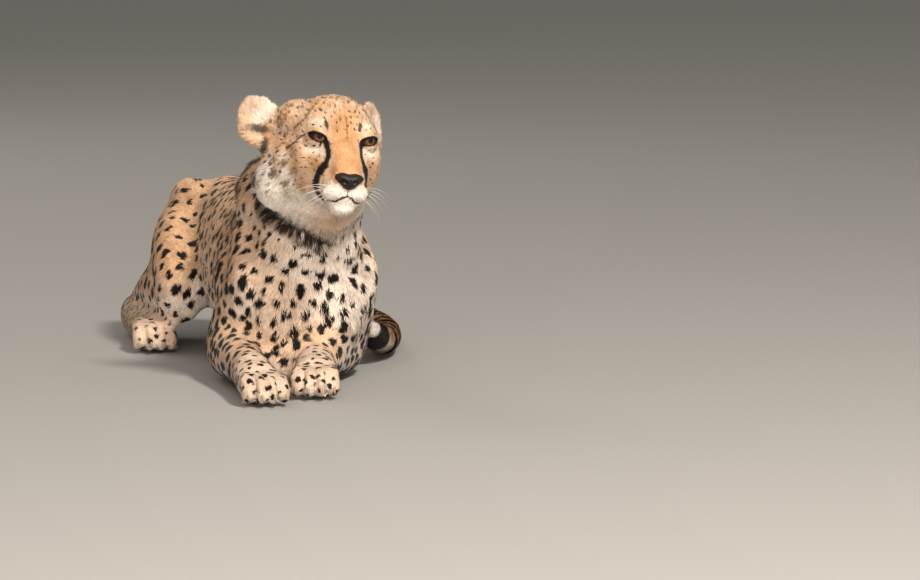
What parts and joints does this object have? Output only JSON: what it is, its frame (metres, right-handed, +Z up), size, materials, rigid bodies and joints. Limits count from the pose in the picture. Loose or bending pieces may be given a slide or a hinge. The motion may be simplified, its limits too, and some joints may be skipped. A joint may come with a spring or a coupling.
{
  "type": "cheetah lying with its head up",
  "caption": "Life-size still model of a cheetah lying on its chest with its head raised and turned, forelegs out in front, hind legs folded and tail along its left side.",
  "frame": {"origin": "middle of the bounding box's base, on the floor under the ribs", "axes": "-Y where the animal faces, +X its left side, +Z up"},
  "size_m": [0.4224, 1.0924, 0.4276],
  "materials": {
    "coat": "short dense fur, golden buff with near-black spots, pale below",
    "eye": "wet, clear cornea over an amber-brown iris",
    "nose_leather": "moist, finely grained, near-black skin",
    "claw": "smooth horn"
  },
  "bodies": {
    "root": {"chest": "coat", "claw_fore_paw_left_1": "claw", "claw_fore_paw_left_2": "claw", "claw_fore_paw_left_3": "claw", "claw_fore_paw_left_4": "claw", "claw_fore_paw_right_1": "claw", "claw_fore_paw_right_2": "claw", "claw_fore_paw_right_3": "claw", "claw_fore_paw_right_4": "claw", "claw_hind_foot_left_1": "claw", "claw_hind_foot_left_2": "claw", "claw_hind_foot_left_3": "claw", "claw_hind_foot_left_4": "claw", "claw_hind_foot_right_1": "claw", "claw_hind_foot_right_2": "claw", "claw_hind_foot_right_3": "claw", "claw_hind_foot_right_4": "claw", "ear_left": "coat", "ear_right": "coat", "eye_left": "eye", "eye_right": "eye", "fore_paw_left": "coat", "fore_paw_right": "coat", "forearm_left": "coat", "forearm_right": "coat", "head": "coat", "hind_foot_left": "coat", "hind_foot_right": "coat", "loins": "coat", "neck": "coat", "nose": "nose_leather", "rump": "coat", "shank_left": "coat", "shank_right": "coat", "tail_1": "coat", "tail_2": "coat", "tail_3": "coat", "tail_4": "coat", "thigh_left": "coat", "thigh_right": "coat", "upper_arm_left": "coat", "upper_arm_right": "coat"}
  },
  "joints": []
}
